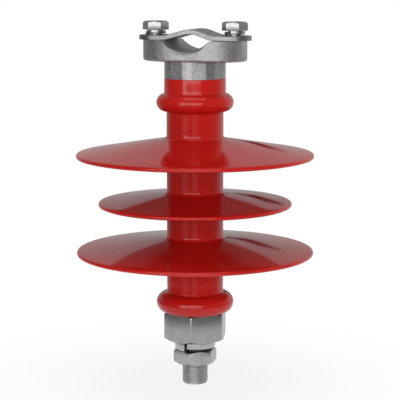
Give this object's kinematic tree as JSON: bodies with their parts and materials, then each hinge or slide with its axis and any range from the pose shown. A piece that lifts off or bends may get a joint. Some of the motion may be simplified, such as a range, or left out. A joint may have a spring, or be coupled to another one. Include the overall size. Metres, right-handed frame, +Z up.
{
  "type": "composite insulator",
  "caption": "Pin-post composite insulator: silicone sheds on a straight trunk, hexagonal steel foot with a threaded stud, and a bolted conductor clamp on top.",
  "frame": {"origin": "centre of the mounting stud's lower end", "axes": "+Z up the insulator's axis, from the stud to the conductor clamp; +X from one keeper bolt to the other; +Y along the conductor groove"},
  "size_m": [0.146, 0.146, 0.225],
  "materials": {
    "silicone_rubber": "moulded silicone rubber, brick red, smooth and glossy",
    "glass_fibre": "pultruded glass-fibre epoxy rod, hidden inside the housing",
    "zinc_steel": "zinc-plated carbon steel, satin",
    "spring_steel": "zinc-plated spring steel, bright edges",
    "clamp_casting": "sand-cast aluminium alloy, mottled, with fine casting grain",
    "keeper_steel": "galvanised pressed steel strip",
    "bolt_steel": "zinc-plated steel, bright flats"
  },
  "bodies": {
    "root": {"housing": "silicone_rubber", "core_rod": "glass_fibre", "base_fitting": "zinc_steel", "mounting_stud": "zinc_steel", "stud_nut": "zinc_steel", "stud_lock_washer": "spring_steel", "clamp_body": "clamp_casting", "clamp_keeper": "keeper_steel", "clamp_bolt_left": "bolt_steel", "clamp_bolt_right": "bolt_steel", "clamp_washer_left": "spring_steel", "clamp_washer_right": "spring_steel"}
  },
  "joints": []
}
